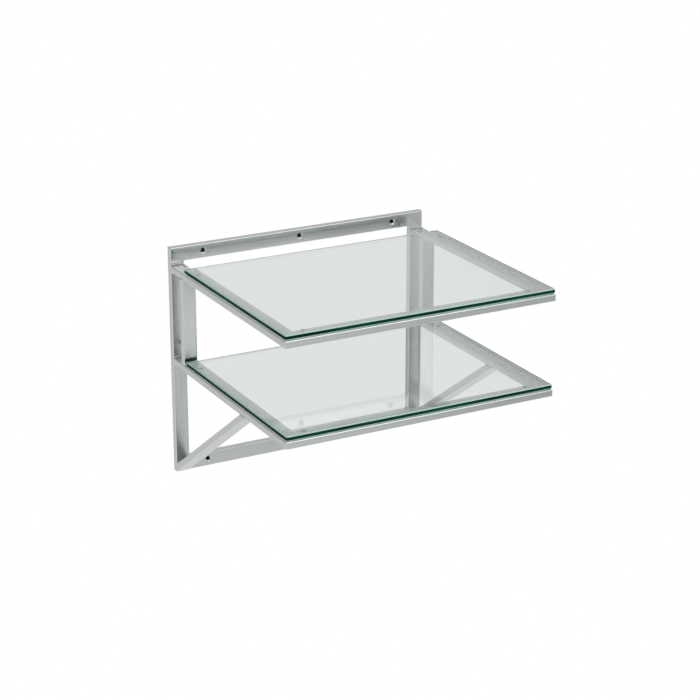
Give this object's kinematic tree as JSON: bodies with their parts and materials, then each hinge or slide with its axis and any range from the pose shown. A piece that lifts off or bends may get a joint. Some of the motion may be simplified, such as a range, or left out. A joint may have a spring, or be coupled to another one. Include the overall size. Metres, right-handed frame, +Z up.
{
  "type": "wall shelf",
  "caption": "Two-tier wall shelf: a welded frame of flat metal tube with diagonal braces under it, carrying clear glass panels on small pads.",
  "frame": {"origin": "middle of the wall frame on the wall plane, which is the centre of the four corner screw holes", "axes": "+X to the right as seen from the room, +Y into the wall, +Z up"},
  "size_m": [0.48, 0.438, 0.4],
  "materials": {
    "frame_tube": "satin, brushed along each tube",
    "glass": "clear float glass with ground, dark green edges",
    "pad": "clear soft plastic"
  },
  "bodies": {
    "frame": {"top_rail": "frame_tube", "bottom_rail": "frame_tube", "left_upright": "frame_tube", "right_upright": "frame_tube", "upper_left_arm": "frame_tube", "upper_right_arm": "frame_tube", "upper_front_rail": "frame_tube", "lower_left_arm": "frame_tube", "lower_right_arm": "frame_tube", "lower_front_rail": "frame_tube", "left_post": "frame_tube", "right_post": "frame_tube", "left_brace": "frame_tube", "right_brace": "frame_tube", "upper_glass_pads": "pad", "lower_glass_pads": "pad"},
    "upper_glass": {"upper_glass": "glass"},
    "lower_glass": {"lower_glass": "glass"}
  },
  "joints": [
    {"name": "upper_glass_lift", "type": "slide", "parent": "frame", "child": "upper_glass", "axis": [0, 0, 1], "range_m": [0, 0.15]},
    {"name": "lower_glass_draw", "type": "slide", "parent": "frame", "child": "lower_glass", "axis": [0, -1, 0], "range_m": [0, 0.37]}
  ]
}
